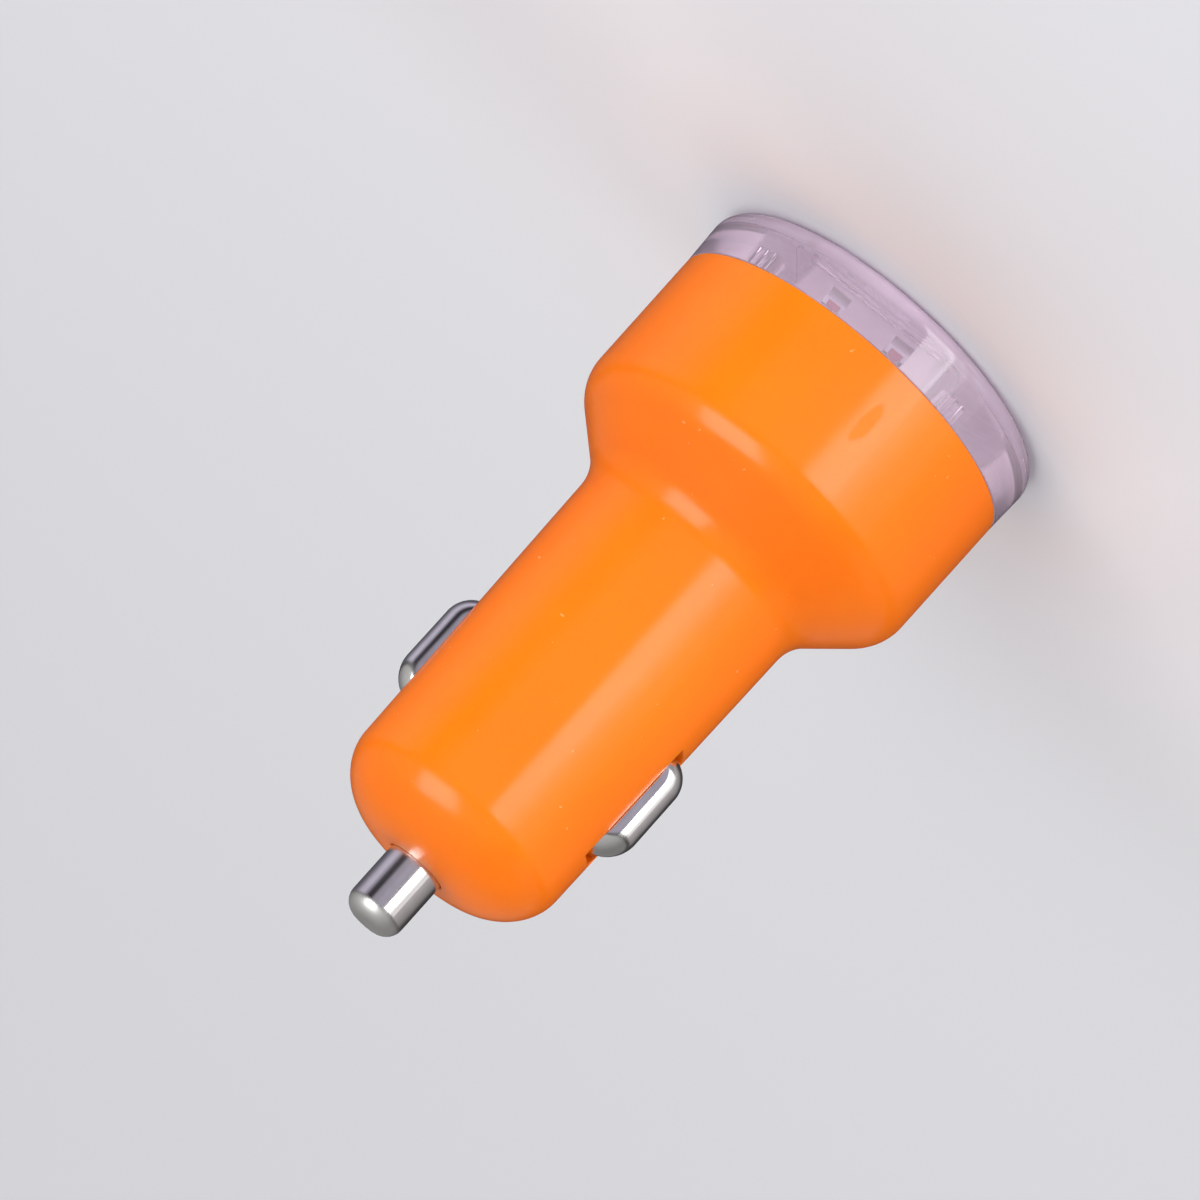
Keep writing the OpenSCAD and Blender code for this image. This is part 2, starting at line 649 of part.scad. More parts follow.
// Enamelled winding between the core's flanges
module inductor_winding() color([0.72, 0.36, 0.16]) on_core() {
  room = core_h - 2 * core_flange - 2 * fit;
  turns = floor(room / winding_wire);
  outer = core_d / 2 - 0.45;
  translate([0, 0, core_flange + fit + (room - turns * winding_wire) / 2]) rotate_extrude() {
    translate([post_r() + fit, 0.05]) square([outer - post_r() - fit - winding_wire / 2, turns * winding_wire - 0.1]);
    for (i = [0:turns - 1]) translate([outer - winding_wire / 2, (i + 0.5) * winding_wire])
      circle(d = winding_wire * 1.04);
  }
}

// Electrolytic can lying on the main board, with a crimped neck near its base
module can(z, l) {
  r = can_d / 2;
  translate([0, can_y, z]) rotate_extrude() polygon(rounded([
    [0, 0, 0], [r, 0, 0.3], [r, 1, 0.2], [r - 0.3, 1.4, 0.2], [r, 1.8, 0.2], [r, l, 0.4], [0, l, 0]]));
}
module input_capacitor() { color([0.12, 0.13, 0.3]) can(input_can_z, input_can_l); }
module output_capacitor() { color([0.12, 0.13, 0.3]) can(output_can_z, output_can_l); }

// Bent leads of both cans, through the main board and cut flush behind it
module capacitor_leads() color([0.75, 0.75, 0.76]) {
  for (z = [input_can_z, output_can_z], x = [-lead_x, lead_x]) {
    translate([x, can_y, z - lead_drop]) cylinder(r = lead_r, h = lead_drop - 0.02);
    translate([x, can_y, z - lead_drop]) sphere(r = lead_r);
    translate([x, can_y, z - lead_drop]) rotate([90, 0, 0])
      cylinder(r = lead_r, h = can_y + board_t / 2);
  }
}

// Box w wide, t thick and l high on the main board's -Y face, at x and z
module on_back(w, t, l, x, z, lift = film) {
  translate([x - w / 2, -board_t / 2 - lift - t, z - l / 2]) cube([w, t, l]);
}

// Converter chip, moulded body with a dimple at its first leg
module converter_chip() color([0.1, 0.1, 0.11]) {
  difference() {
    on_back(chip_w, chip_t, chip_l, 0, chip_z, chip_lift);
    translate([chip_w / 2 - 0.9, -board_t / 2 - chip_lift - chip_t, chip_z + chip_l / 2 - 0.9])
      rotate([90, 0, 0]) cylinder(r = 0.35, h = 0.2, center = true);
  }
}

// Gull-wing legs of the converter chip, face to face with its sides
module chip_legs() color([0.75, 0.75, 0.76]) {
  top = -board_t / 2 - chip_lift - chip_t / 2;
  low = -board_t / 2 - film - leg_t;
  for (s = [0, 1], k = [-1.5:1.5]) translate([0, 0, chip_z + k * leg_pitch]) mirror([s, 0, 0])
    linear_extrude(leg_w, center = true) polygon(sheet([
      [chip_w / 2, top, 0], [leg_span / 2 - 0.65, top, leg_t],
      [leg_span / 2 - 0.45, low, leg_t], [leg_span / 2, low, 0]], leg_t));
}

// Diode: moulded body on two metal feet
module diode() color([0.1, 0.1, 0.11]) {
  foot_t = 0.3;
  foot_w = 0.9;
  foot_out = 0.35;                  // how far a foot shows past the body
  on_back(diode_w, diode_t - foot_t, diode_l, 0, diode_z, foot_t);
  for (s = [-1, 1])
    on_back(foot_w, foot_t - film, diode_l / 2, s * (diode_w / 2 + foot_out - foot_w / 2), diode_z);
}

// Small parts with metal ends, all soldered to the main board's -Y face
module input_fuse() { color([0.9, 0.9, 0.85]) on_back(fuse_w, fuse_t, fuse_l, fuse_x, fuse_z); }
module chip_resistors() color([0.12, 0.12, 0.13]) {
  for (x = [-resistor_x, resistor_x], z = [diode_z, chip_z]) on_back(small_w, resistor_t, small_l, x, z);
}
module chip_capacitors() color([0.72, 0.58, 0.4]) {
  for (x = [-chip_cap_x, chip_cap_x]) on_back(small_w, chip_cap_t, small_l, x, chip_cap_z);
}

// Two indicator lights on the port board, facing the cap
module indicator_leds() color([0.95, 0.2, 0.2]) {
  for (s = [-1, 1]) translate([s * led_x - led_w / 2, -led_h / 2, port_board_z - led_t - film])
    cube([led_w, led_h, led_t]);
}

housing();
end_cap();
center_pin();
pin_spring();
spring_cup();
contact_left();
contact_right();
main_board();
port_board();
socket_shell_a();
socket_shell_b();
socket_insulator_a();
socket_insulator_b();
socket_contacts_a();
socket_contacts_b();
inductor_core();
inductor_winding();
input_capacitor();
output_capacitor();
capacitor_leads();
converter_chip();
chip_legs();
diode();
input_fuse();
chip_resistors();
chip_capacitors();
indicator_leds();
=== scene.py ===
"""Car charger plug with two charging ports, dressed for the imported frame.

It stands on its cap, as the frame does: the cap's face lies at z = 0 and the centre pin points up
along +Z. The sections follow the plug from its housing inwards. Shapes are worked out in
millimetres and made in metres.
"""
import math

import bmesh
import bpy
import numpy as np
from mathutils import Matrix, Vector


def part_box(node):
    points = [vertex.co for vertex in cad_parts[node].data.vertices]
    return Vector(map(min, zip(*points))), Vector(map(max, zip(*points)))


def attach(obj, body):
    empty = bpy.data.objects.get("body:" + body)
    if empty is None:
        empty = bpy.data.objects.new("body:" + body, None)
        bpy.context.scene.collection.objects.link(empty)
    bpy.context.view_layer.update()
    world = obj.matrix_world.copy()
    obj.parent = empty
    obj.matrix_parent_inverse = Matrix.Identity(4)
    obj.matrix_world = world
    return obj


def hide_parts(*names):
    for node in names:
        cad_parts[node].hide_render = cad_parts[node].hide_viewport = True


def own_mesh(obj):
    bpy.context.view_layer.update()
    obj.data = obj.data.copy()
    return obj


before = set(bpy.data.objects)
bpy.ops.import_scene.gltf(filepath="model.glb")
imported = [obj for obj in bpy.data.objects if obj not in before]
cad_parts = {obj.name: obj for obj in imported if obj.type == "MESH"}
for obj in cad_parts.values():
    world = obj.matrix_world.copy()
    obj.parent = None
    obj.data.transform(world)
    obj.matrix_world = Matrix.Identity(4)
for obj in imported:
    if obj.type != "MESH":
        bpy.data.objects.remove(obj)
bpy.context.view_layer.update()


# Camera: the photograph's viewpoint, rolled so that the pin points to the picture's lower left. The
# picture is taken to be 1200 x 1200, and its middle is the lens's axis.
camera = bpy.data.objects.new("camera", bpy.data.cameras.new("camera"))
bpy.context.scene.collection.objects.link(camera)
camera.data.lens = 166.23
camera.data.sensor_width = 36
camera.data.clip_start = 0.01
camera.matrix_world = Matrix((
    (-0.76049534, 0.61984744, -0.19348382, -0.083675),
    (-0.00991770, -0.30902141, -0.95100337, -0.427808),
    (-0.64926765, -0.72131471, 0.24115681, 0.139990),
    (0, 0, 0, 1)))
bpy.context.scene.camera = camera


# Floor and light: a pale table top. Three tall softboxes side by side make the fading band on the
# plug's side, and one above makes the spots on its bends. Wide fills, which gloss doesn't see, light it
# evenly.
def new_object(name, mesh):
    """New object in the scene, at the origin."""
    obj = bpy.data.objects.new(name, mesh)
    bpy.context.scene.collection.objects.link(obj)
    return obj


def principled(name, **sockets):
    """New material whose Principled shader takes the given sockets, named with _ for spaces."""
    made = bpy.data.materials.new(name)
    made.use_nodes = True
    shader = made.node_tree.nodes["Principled BSDF"]
    for key, value in sockets.items():
        socket = shader.inputs[key.replace("_", " ")]
        is_colour = isinstance(value, tuple) and len(socket.default_value) == 4
        socket.default_value = (*value, 1) if is_colour else value
    return made


table_half = 2.0
table = bpy.data.meshes.new("table")
table.from_pydata([(x * table_half, y * table_half, 0) for x, y in ((-1, -1), (1, -1), (1, 1), (-1, 1))],
                  [], [(0, 1, 2, 3)])
table_top = new_object("table_top", table)
table_top.data.materials.append(principled("table_top", Base_Color=(0.74, 0.74, 0.77), Roughness=0.9,
                                           Specular_IOR_Level=0.1))
# Gloss looks past the table to the tall softboxes, which stand below its level
table_top.visible_glossy = False
table_top.visible_shadow = False

plug_middle = np.array([0, 0, 0.032])


def softbox(name, azimuth, elevation, distance, width, height, watts, in_gloss):
    """Rectangular lamp that faces the plug's middle from azimuth and elevation, in degrees."""
    az, el = math.radians(azimuth), math.radians(elevation)
    back = np.array([math.sin(az) * math.cos(el), -math.cos(az) * math.cos(el), math.sin(el)])
    right = np.array([math.cos(az), math.sin(az), 0])
    up = np.cross(back, right)
    stand = plug_middle + back * distance
    lamp = bpy.data.objects.new(name, bpy.data.lights.new(name, "AREA"))
    lamp.data.shape = "RECTANGLE"
    lamp.data.size, lamp.data.size_y = width, height
    lamp.data.energy = watts
    lamp.visible_camera = False
    lamp.visible_glossy = in_gloss
    lamp.matrix_world = Matrix([[right[i], up[i], back[i], stand[i]] for i in range(3)] + [[0, 0, 0, 1]])
    bpy.context.scene.collection.objects.link(lamp)


softbox("tall_softbox", -36, -26, 0.6, 0.21, 0.50, 1.2, True)
softbox("tall_softbox_side", -51, -26, 0.6, 0.15, 0.50, 0.44, True)
softbox("tall_softbox_edge", -67, -26, 0.6, 0.19, 0.50, 0.18, True)
softbox("upper_softbox", 22, 30, 0.7, 0.50, 0.42, 2.2, True)
softbox("front_fill", 3, -24, 1.2, 0.9, 0.9, 8.8, False)
softbox("side_fill", -100, 12, 1.2, 0.8, 0.8, 4.6, False)
softbox("back_fill", 175, 45, 2.2, 1.6, 1.6, 16, False)
softbox("table_fill", 120, 80, 1.4, 1.2, 1.2, 4.0, False)


def node(made, kind, **sockets):
    """New node of a material or world; sockets are set or linked by name, other words are its properties."""
    tree = made.node_tree
    new = tree.nodes.new("ShaderNode" + kind)
    for key, value in sockets.items():
        label = key.replace("_", " ")
        if label not in new.inputs:
            setattr(new, key, value)
        elif isinstance(value, bpy.types.NodeSocket):
            tree.links.new(value, new.inputs[label])
        else:
            new.inputs[label].default_value = value
    return new


def maths(made, operation, *values, kind="Math"):
    """Result of a Math or VectorMath node whose inputs are set or linked in order."""
    new = node(made, kind, operation=operation)
    for socket, value in zip(new.inputs, values):
        if isinstance(value, bpy.types.NodeSocket):
            made.node_tree.links.new(value, socket)
        else:
            socket.default_value = value
    return new.outputs["Value"]


def mapped(made, value, low, high, to_low=0.0, to_high=1.0, **words):
    """A value's place between low and high, carried over to the range from to_low to to_high."""
    return node(made, "MapRange", Value=value, From_Min=low, From_Max=high, To_Min=to_low, To_Max=to_high,
                **words).outputs[0]


def ramp(made, value, *stops):
    """Colour of a value between stops (place, colour or grey)."""
    new = node(made, "ValToRGB", Fac=value)
    marks = new.color_ramp.elements
    while len(marks) < len(stops):
        marks.new(0.5)
    for mark, (position, colour) in zip(marks, stops):
        mark.position = position
        mark.color = (*colour, 1) if isinstance(colour, tuple) else (colour, colour, colour, 1)
    return new.outputs[0]


def over(made, factor, under, top):
    """Colour that is top where factor is 1 and under where it is 0."""
    new = node(made, "Mix", data_type="RGBA", Factor=factor)
    for socket, value in (("A", under), ("B", top)):
        if isinstance(value, tuple):
            new.inputs[socket].default_value = (*value, 1)
        else:
            made.node_tree.links.new(value, new.inputs[socket])
    return new.outputs["Result"]


# Level of the room's light below the table's height, by azimuth in degrees
room = [(-180, 0.045), (-145, 0.065), (-122, 0.26), (-95, 0.40), (-80, 0.50), (-70, 0.40), (-26, 0.30),
        (-22, 0.30), (-17, 0.34), (-12, 0.40), (2, 0.42), (10, 0.36), (26, 0.34), (35, 0.04), (52, 0.04),
        (62, 0.36), (76, 0.60), (92, 0.50), (106, 0.26), (120, 0.14), (145, 0.09), (180, 0.045)]
bluish_from = -24
lamps_way = (0.40, -0.86, 0.31)
skyline_z = 0.05
backdrop = (0.72, 0.72, 0.75)


def studio():
    """Light from each direction. Above the table it is even and pale, brighter towards the lamps' side;
    below, which only gloss sees, it changes with the azimuth as the room around the plug does. A darker
    line runs round at the skyline. The camera itself sees a plain pale backdrop."""
    world = bpy.data.worlds.new("studio")
    bpy.context.scene.world = world
    world.use_nodes = True
    way = node(world, "TexCoord").outputs["Generated"]
    split = node(world, "SeparateXYZ", Vector=way)
    behind = maths(world, "MULTIPLY", split.outputs["Y"], -1.0)
    azimuth = maths(world, "ARCTAN2", split.outputs["X"], behind)
    stops = [(degrees / 360 + 0.5, (level, level * 0.93, level * (1.16 if degrees > bluish_from else 0.96)))
             for degrees, level in room]
    low = ramp(world, mapped(world, azimuth, -math.pi, math.pi), *stops)
    towards_lamps = maths(world, "DOT_PRODUCT", way, lamps_way, kind="VectorMath")
    high = mapped(world, towards_lamps, -0.4, 1.0, 0.24, 0.54, interpolation_type="SMOOTHSTEP")
    light = over(world, mapped(world, split.outputs["Z"], -0.03, 0.03), low, high)
    off_skyline = maths(world, "ABSOLUTE", maths(world, "SUBTRACT", split.outputs["Z"], skyline_z))
    strength = mapped(world, off_skyline, 0.02, 0.12, 0.3, 1.0, interpolation_type="SMOOTHSTEP")
    dimmed = node(world, "VectorMath", operation="SCALE", Vector=light, Scale=strength).outputs["Vector"]
    seen = node(world, "LightPath").outputs["Is Camera Ray"]
    shown = over(world, seen, dimmed, backdrop)
    world.node_tree.links.new(shown, world.node_tree.nodes["Background"].inputs["Color"])


studio()
bpy.context.scene.view_settings.view_transform = "Standard"


# Housing: one glossy orange moulding with a wide head, a sloping shoulder, a slim barrel and a rounded
# nose, cored to an even wall, with the pin's hole and two slots for the side contacts.
def unit(v):
    """The vector's direction, at length 1."""
    return v / np.hypot(*v)


def bent(corners, pieces=16):
    """Open path through corners (x, y, radius). Each corner becomes an arc that starts radius *
    tan(turn / 2) before it: centre + radius * (sin a, -cos a), a going from one run's angle to the next's."""
    p = np.array([c[:2] for c in corners], float)
    path = [p[:1]]
    for a, b, c, (_, _, radius) in zip(p[:-2], p[1:-1], p[2:], corners[1:-1]):
        u, v = unit(b - a), unit(c - b)
        turn = math.atan2(u[0] * v[1] - u[1] * v[0], u @ v)
        if radius == 0 or abs(turn) < 1e-9:
            path.append(b[None])
            continue
        side = math.copysign(1, turn)
        centre = b - u * radius * math.tan(abs(turn) / 2) + side * radius * np.array([-u[1], u[0]])
        angle = math.atan2(u[1], u[0]) + turn * np.linspace(0, 1, pieces + 1)
        path.append(centre + side * radius * np.stack([np.sin(angle), -np.cos(angle)], 1))
    path.append(p[-1:])
    return np.concatenate(path)


def turned(profile, angles):
    """Grid of points (r cos a, r sin a, z) for each (r, z) of a profile and each angle a."""
    r, z = np.asarray(profile).T
    a = np.broadcast_to(angles, (len(r), np.shape(angles)[-1]))
    heights = np.broadcast_to(z[:, None], a.shape)
    return np.stack([r[:, None] * np.cos(a), r[:, None] * np.sin(a), heights], -1)


def cells(rows, columns, around=False, across=False):
    """Quads of a grid as corner numbers; around closes its rows, across its columns."""
    i, j = np.meshgrid(np.arange(rows - (not across)), np.arange(columns - (not around)), indexing="ij")
    k, l = (i + 1) % rows, (j + 1) % columns
    return np.stack([i * columns + j, i * columns + l, k * columns + l, k * columns + j], -1)


def faced(name, points, quads, made, sharp=35, bevel=0.0):
    """Mesh object from points in millimetres and quads, smooth but for edges over an angle in degrees.
    Doubles are merged and faces turned out; bevel rounds the sharpest edges by that many millimetres."""
    mesh = bpy.data.meshes.new(name)
    mesh.from_pydata(points * MM, [], quads.tolist())
    work = bmesh.new()
    work.from_mesh(mesh)
    bmesh.ops.remove_doubles(work, verts=work.verts, dist=1e-7)
    bmesh.ops.dissolve_degenerate(work, edges=work.edges, dist=1e-8)
    bmesh.ops.recalc_face_normals(work, faces=work.faces)
    work.to_mesh(mesh)
    work.free()
    mesh.materials.append(made)
    mesh.polygons.foreach_set("use_smooth", np.ones(len(mesh.polygons), bool))
    mesh.update()
    obj = new_object(name, mesh)
    if bevel:
        edges = obj.modifiers.new("edges", "BEVEL")
        edges.width = bevel * MM
        edges.segments = 2
        edges.limit_method = "ANGLE"
        edges.angle_limit = math.radians(50)
        obj.modifiers.new("shading", "WEIGHTED_NORMAL")
    else:
        mesh.set_sharp_from_angle(angle=math.radians(sharp))
    return obj


def piece(name, grids, made, sharp=35):
    """Mesh object of several grids (points in millimetres, whether its rows close)."""
    points, quads, start = [], [], 0
    for grid, around in grids:
        rows, columns = grid.shape[:2]
        points.append(grid.reshape(-1, 3))
        quads.append(cells(rows, columns, around).reshape(-1, 4) + start)
        start += rows * columns
    return faced(name, np.concatenate(points), np.concatenate(quads), made, sharp)


MM = 0.001
rim_z, rim_round = 5.4, 0.12
head_r, head_h, head_draft = 16.6, 13.0, math.tan(math.radians(0.5))
shoulder_z = rim_z + head_h
head_top_r = head_r - head_h * head_draft
shoulder_slope, shoulder_r = math.radians(46.6), 4.23
barrel_r, barrel_l, barrel_draft = 10.25, 34.35, math.tan(math.radians(1))
nose_l, nose_flat_r = 5.6, 3.45
wall, end_wall, hollow_r = 1.6, 2.0, 3.0
neck_r = barrel_r + (barrel_l - nose_l) * barrel_draft
neck_z = shoulder_z + (head_top_r - neck_r) / math.tan(shoulder_slope)
end_z = neck_z + barrel_l
nose_z = end_z - nose_l
ceiling_z = end_z - end_wall
slot_from_end, slot_l, slot_half, slot_round = 9.15, 11.7, 2.0, 0.14
slot_top = end_z - slot_from_end
slot_bottom = slot_top - slot_l
pin_hole_r, hole_round = 2.62, 0.18


def barrel_out(z):
    """Barrel's outer radius at height z."""
    return barrel_r + (nose_z - z) * barrel_draft


def head_in(z):
    """Head's inner radius at height z."""
    return head_r - (z - rim_z) * head_draft - wall


# Profile: up the outside, over the nose, down through the pin's hole and back down the inside
rim_middle_r = head_in(rim_z) + 0.4
slot_rows = np.linspace(slot_bottom, slot_top, 13)
nose_turn = np.linspace(0, math.pi / 2, 37)[1:]
shift = wall * math.tan(shoulder_slope / 2)
below = bent([(rim_middle_r, rim_z, 0), (head_r, rim_z, rim_round), (head_top_r, shoulder_z, shoulder_r),
              (neck_r, neck_z, shoulder_r), (barrel_out(slot_bottom), slot_bottom, 0)], 24)[:-1]
nose_out = nose_flat_r + (barrel_r - nose_flat_r) * np.cos(nose_turn)
above = np.concatenate([
    [[barrel_r, nose_z]],
    np.stack([nose_out, nose_z + nose_l * np.sin(nose_turn)], 1),
    bent([(nose_flat_r, end_z, 0), (pin_hole_r, end_z, hole_round), (pin_hole_r, ceiling_z, 0.1),
          (barrel_out(ceiling_z) - wall, ceiling_z, hollow_r), (barrel_out(slot_top) - wall, slot_top, 0)],
         12)[1:-1]])
back_down = bent([(barrel_out(slot_bottom) - wall, slot_bottom, 0),
                  (neck_r - wall, neck_z - shift, shoulder_r + wall),
                  (head_top_r - wall, shoulder_z - shift, shoulder_r - wall), (head_in(rim_z), rim_z, 0.3),
                  (rim_middle_r, rim_z, 0)], 24)[1:-1]
outer_rows = np.stack([barrel_out(slot_rows), slot_rows], 1)
inner_rows = np.stack([barrel_out(slot_rows) - wall, slot_rows], 1)[::-1]
profile = np.concatenate([below, outer_rows, above, inner_rows, back_down])

# Columns: the slot's edges follow the planes y = +-slot_half, and the others spread evenly between them
columns, slot_half_columns = 192, 6
even = np.arange(columns) * 2 * math.pi / columns
plain_edge = slot_half_columns * 2 * math.pi / columns
first_out, first_in = len(below), len(below) + len(slot_rows) + len(above)
edge = np.full(len(profile), plain_edge)
for first in (first_out, first_in):
    rows = slice(first, first + len(slot_rows))
    edge[rows] = np.arcsin(slot_half / profile[rows, 0])
half_turn = (even + math.pi / 2) % math.pi - math.pi / 2          # angle from the nearer slot's middle
size, side = np.abs(half_turn), np.sign(half_turn)
inside_slot = size[None] <= plain_edge + 1e-9
outside_share = (size[None] - plain_edge) / (math.pi / 2 - plain_edge)
size = np.where(inside_slot, size[None] / plain_edge * edge[:, None],
                edge[:, None] + outside_share * (math.pi / 2 - edge[:, None]))
angles = (even - half_turn)[None] + side[None] * size
housing_points = turned(profile, angles)

# The slots' cells are left out, and walls join the outer skin to the inner one round each slot
quads = cells(len(profile), columns, around=True, across=True)
keep = np.ones(quads.shape[:2], bool)
slot_walls = []
for middle in (0, columns // 2):
    across_slot = np.arange(middle - slot_half_columns, middle + slot_half_columns + 1) % columns
    outside = np.arange(first_out, first_out + len(slot_rows))
    inside = np.arange(first_in, first_in + len(slot_rows))[::-1]
    for first in (first_out, first_in):
        keep[np.ix_(np.arange(first, first + len(slot_rows) - 1), across_slot[:-1])] = False
    for column in across_slot[[0, -1]]:
        a, b = outside * columns + column, inside * columns + column
        slot_walls.append(np.stack([a[:-1], b[:-1], b[1:], a[1:]], -1))
    for k in (0, -1):
        a, b = outside[k] * columns + across_slot, inside[k] * columns + across_slot
        slot_walls.append(np.stack([a[:-1], b[:-1], b[1:], a[1:]], -1))


def noise(made, scale, detail=2.0, stretch=(1, 1, 1)):
    """Noise on the piece's own coordinates, with scale waves per metre, stretched along each axis."""
    own = node(made, "TexCoord").outputs["Object"]
    stretched = node(made, "Mapping", Vector=own, Scale=stretch)
    return node(made, "TexNoise", Vector=stretched.outputs[0], Scale=scale, Detail=detail).outputs[0]


def wire(made, output, socket):
    """Feeds a node's output to the material's Principled shader."""
    made.node_tree.links.new(output, made.node_tree.nodes["Principled BSDF"].inputs[socket])


def bump(made, height, distance, strength=1.0, **words):
    """Bumps of a height from 0 to 1, distance metres tall."""
    new = node(made, "Bump", Height=height, Distance=distance, Strength=strength, **words)
    wire(made, new.outputs[0], "Normal")


def scuff(made, middle, reach, lean):
    """1 inside an ellipsoid with a ragged edge, leant in degrees about Y, and 0 outside it."""
    own = node(made, "TexCoord").outputs["Object"]
    near = node(made, "Mapping", vector_type="TEXTURE", Vector=own, Location=middle, Scale=reach,
                Rotation=(0, math.radians(lean), 0))
    away = maths(made, "LENGTH", near.outputs[0], kind="VectorMath")
    ragged = maths(made, "MULTIPLY_ADD", noise(made, 1800, 3), 0.9, away)
    return mapped(made, ragged, 1.15, 1.4, 1.0, 0.0)


orange = principled("orange_plastic", Base_Color=(1.0, 0.186, 0.001), Roughness=0.2, IOR=1.46,
                    Subsurface_Weight=0.35, Subsurface_Scale=0.0022, Subsurface_Radius=(1.0, 0.35, 0.1))
tone = ramp(orange, noise(orange, 55, 3), (0.35, (0.98, 0.178, 0.001)), (0.65, (1.0, 0.194, 0.001)))
specks = ramp(orange, noise(orange, 1500, 1), (0.785, 0.0), (0.81, 1.0))
wire(orange, over(orange, specks, tone, (1.0, 0.34, 0.10)), "Base Color")
gloss = ramp(orange, noise(orange, 260, 4, (1, 1, 0.25)), (0.3, 0.17), (0.75, 0.27))
rubbed = scuff(orange, (-0.0062, -0.0154, 0.0104), (0.0007, 0.002, 0.0024), 3)
wire(orange, over(orange, rubbed, gloss, (0.55, 0.55, 0.55)), "Roughness")
bump(orange, noise(orange, 420, 3), 0.00002, 0.25)
housing = faced("housing_shell", housing_points.reshape(-1, 3), np.concatenate([quads[keep], *slot_walls]),
                orange, bevel=slot_round)
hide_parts("housing")
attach(housing, "root")


# End cap: a milky moulding that closes the head. It has a face with two port openings, a raised block
# behind them, a rounded outer edge, and a skirt with snap lugs and short gussets, pressed into the head.
port_pitch, shell_w, shell_h, shell_corner, play = 14.2, 13.1, 5.7, 0.8, 0.1
cap_face, block_back = 1.0, 1.3
block_margin, block_corner = 2.7, 1.5
block_w, block_l = shell_w + block_margin, port_pitch + shell_h + block_margin
skirt_end, skirt_wall = 13.85, 1.2
skirt_r = head_in(skirt_end + play) - play
skirt_in_r = skirt_r - skirt_wall
cap_face_r = head_r + rim_z * math.tan(math.radians(2.4))
cap_edge_r = 1.7
face_ring_r, back_ring_r = 14.0, 13.3


def spread(path, count):
    """Points at equal steps of length along a path."""
    along = np.concatenate([[0], np.cumsum(np.hypot(*np.diff(path, axis=0).T))])
    at = np.linspace(0, along[-1], count)
    return np.stack([np.interp(at, along, path[:, k]) for k in (0, 1)], 1)


def port_loop(grow):
    """Outline of the upper port's opening moved out by grow, from its lower left corner: 160 points.
    Each side is a straight run and a quarter circle, corner + r (cos a, sin a)."""
    w, h, r = shell_w / 2 + play + grow, shell_h / 2 + play + grow, shell_corner + play + grow
    quarter = np.linspace(0, math.pi / 2, 17)[:-1]
    sides = [48, 8, 32, 8]
    loop = []
    for k, steps in enumerate(sides):
        sx, sy = ((1, -1), (1, 1), (-1, 1), (-1, -1))[k]
        begin = np.array([(-(w - r), -h), (w, -(h - r)), (w - r, h), (-w, h - r)][k])
        stop = np.array([(w - r, -h), (w, h - r), (-(w - r), h), (-w, -(h - r))][k])
        run = np.linspace(0, 1, steps, endpoint=False)[:, None]
        loop.append(begin + run * (stop - begin))
        a = quarter + math.pi / 2 * (k - 1)
        loop.append(np.stack([sx * (w - r) + r * np.cos(a), sy * (h - r) + r * np.sin(a)], 1))
    return np.roll(np.concatenate(loop), 8, axis=0) + [0, port_pitch / 2]


def block_halves():
    """The block's outline as a closed loop of 192 points, and its upper half with the line y = 0 as 160."""
    w, l = block_w / 2, block_l / 2
    upper = spread(bent([(w, 0, 0), (w, l, block_corner), (-w, l, block_corner), (-w, 0, 0)]), 97)
    line = np.stack([np.linspace(-w, w, 65), np.zeros(65)], 1)
    return np.concatenate([upper[:-1], -upper[:-1]]), np.concatenate([line[:-1], upper[:-1]])


def flat(loop, z):
    """A loop (x, y) laid at height z."""
    return np.concatenate([loop, np.full((len(loop), 1), z)], 1)


def between(a, b, steps):
    """Rings that go evenly from loop a to loop b."""
    t = np.linspace(0, 1, steps + 1)[:, None, None]
    return a * (1 - t) + b * t


block, half_block = block_halves()
around = np.arange(192) * 2 * math.pi / 192
circle = np.stack([np.cos(around), np.sin(around)], 1)
mouth = [(0.22, 0.0), (0.08, 0.06), (0.0, 0.22), (0.0, 1.08), (0.08, 1.24), (0.22, block_back)]
mouth_walls = np.stack([flat(port_loop(grow), z) for grow, z in mouth])
front = between(mouth_walls[0], flat(half_block, 0), 3)
behind = between(mouth_walls[-1], flat(half_block, block_back), 3)
mirror = np.array([1, -1, 1])
cap_grids = [(g * m, True) for g in (mouth_walls, front, behind) for m in (1, mirror)]
cap_grids += [
    (between(flat(block, 0), flat(circle * face_ring_r, 0), 3), True),
    (np.stack([flat(block, block_back), flat(block, cap_face)]), True),
    (between(flat(block, cap_face), flat(circle * back_ring_r, cap_face), 2), True),
    (turned(bent([(face_ring_r, 0, 0), (cap_face_r, 0, cap_edge_r), (head_r, rim_z, rim_round),
                  (skirt_r, rim_z, 0.15), (skirt_r, skirt_end, 0.2), (skirt_in_r, skirt_end, 0.2),
                  (skirt_in_r, cap_face, 0.25), (back_ring_r, cap_face, 0)], 14), around), True)]


def slab(x0, x1, y0, y1, z0, z1, angle=0.0, taper=0.0):
    """Closed block between two corners, its outer side tapered towards the top, turned about the axis."""
    r = min(x1 - x0, y1 - y0) * 0.2
    middle_x, ease = (x0 + x1) / 2, 0.06
    ring = bent([(middle_x, y0, 0), (x1, y0, r), (x1, y1, r), (x0, y1, r), (x0, y0, r),
                 (middle_x, y0, 0)], 3)[:-1]
    mid = ring.mean(0)
    small = mid + (ring - mid) * 0.9
    grid = np.stack([flat(mid + (ring - mid) * 0, z0), flat(small, z0), flat(ring, z0 + ease),
                     flat(ring - [taper, 0], z1 - ease), flat(small - [taper, 0], z1),
                     flat(mid + (ring - mid) * 0, z1)])
    c, s = math.cos(angle), math.sin(angle)
    return grid @ np.array([[c, s, 0], [-s, c, 0], [0, 0, 1]]), True


